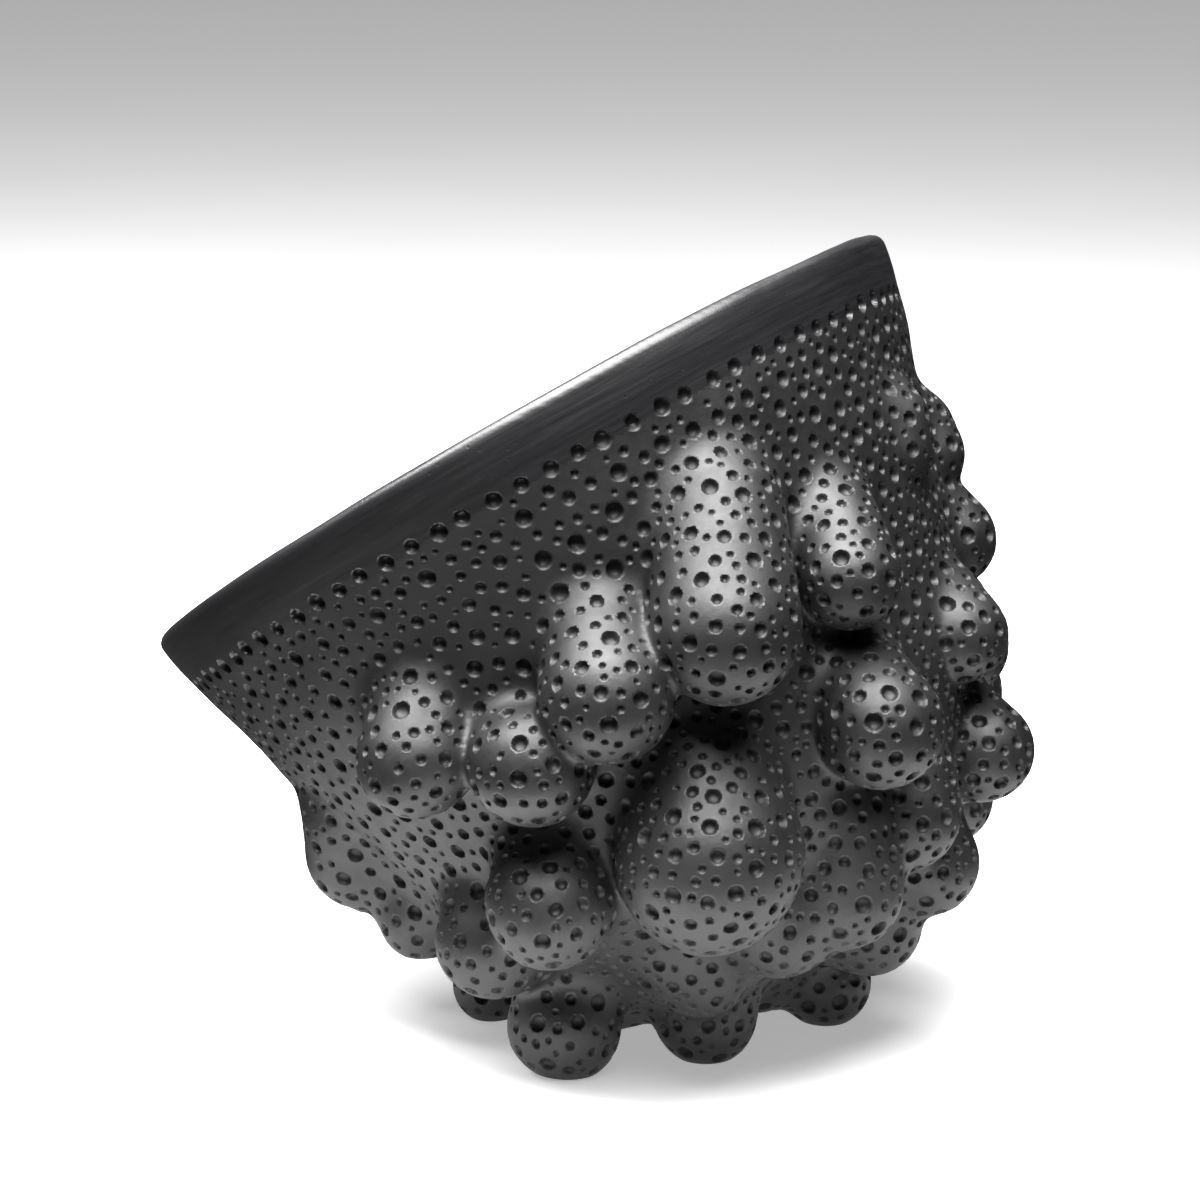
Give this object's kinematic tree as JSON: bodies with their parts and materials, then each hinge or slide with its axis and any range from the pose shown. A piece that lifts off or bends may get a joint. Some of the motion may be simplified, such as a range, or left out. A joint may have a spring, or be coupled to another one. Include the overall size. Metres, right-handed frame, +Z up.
{
  "type": "black clay pot",
  "caption": "Leaning round bowl of burnished black clay with a smooth rim and hollow bulbs all over its lower half, standing on its lowest bulbs.",
  "frame": {"origin": "centre of the bounding box, on the surface that the pot stands on", "axes": "+Z up; the mouth leans towards -X and a little towards +Y, and the side with the tallest bulb faces -Y"},
  "size_m": [0.2622, 0.269, 0.2439],
  "materials": {
    "pitted_black_clay": "black reduction-fired clay, smoothed to a satin sheen and pricked all over with small round pits",
    "burnished_black_clay": "black reduction-fired clay, burnished along the rim to a soft graphite sheen"
  },
  "bodies": {
    "root": {"foot_lobe_1": "pitted_black_clay", "foot_lobe_2": "pitted_black_clay", "foot_lobe_3": "pitted_black_clay", "foot_lobe_4": "pitted_black_clay", "foot_lobe_5": "pitted_black_clay", "foot_lobe_6": "pitted_black_clay", "lower_lobe_1": "pitted_black_clay", "lower_lobe_10": "pitted_black_clay", "lower_lobe_11": "pitted_black_clay", "lower_lobe_12": "pitted_black_clay", "lower_lobe_13": "pitted_black_clay", "lower_lobe_14": "pitted_black_clay", "lower_lobe_2": "pitted_black_clay", "lower_lobe_3": "pitted_black_clay", "lower_lobe_4": "pitted_black_clay", "lower_lobe_5": "pitted_black_clay", "lower_lobe_6": "pitted_black_clay", "lower_lobe_7": "pitted_black_clay", "lower_lobe_8": "pitted_black_clay", "lower_lobe_9": "pitted_black_clay", "middle_lobe_1": "pitted_black_clay", "middle_lobe_10": "pitted_black_clay", "middle_lobe_11": "pitted_black_clay", "middle_lobe_12": "pitted_black_clay", "middle_lobe_2": "pitted_black_clay", "middle_lobe_3": "pitted_black_clay", "middle_lobe_4": "pitted_black_clay", "middle_lobe_5": "pitted_black_clay", "middle_lobe_6": "pitted_black_clay", "middle_lobe_7": "pitted_black_clay", "middle_lobe_8": "pitted_black_clay", "middle_lobe_9": "pitted_black_clay", "rim_band": "burnished_black_clay", "upper_lobe_1": "pitted_black_clay", "upper_lobe_10": "pitted_black_clay", "upper_lobe_11": "pitted_black_clay", "upper_lobe_12": "pitted_black_clay", "upper_lobe_13": "pitted_black_clay", "upper_lobe_14": "pitted_black_clay", "upper_lobe_2": "pitted_black_clay", "upper_lobe_3": "pitted_black_clay", "upper_lobe_4": "pitted_black_clay", "upper_lobe_5": "pitted_black_clay", "upper_lobe_6": "pitted_black_clay", "upper_lobe_7": "pitted_black_clay", "upper_lobe_8": "pitted_black_clay", "upper_lobe_9": "pitted_black_clay", "vessel_wall": "pitted_black_clay"}
  },
  "joints": []
}
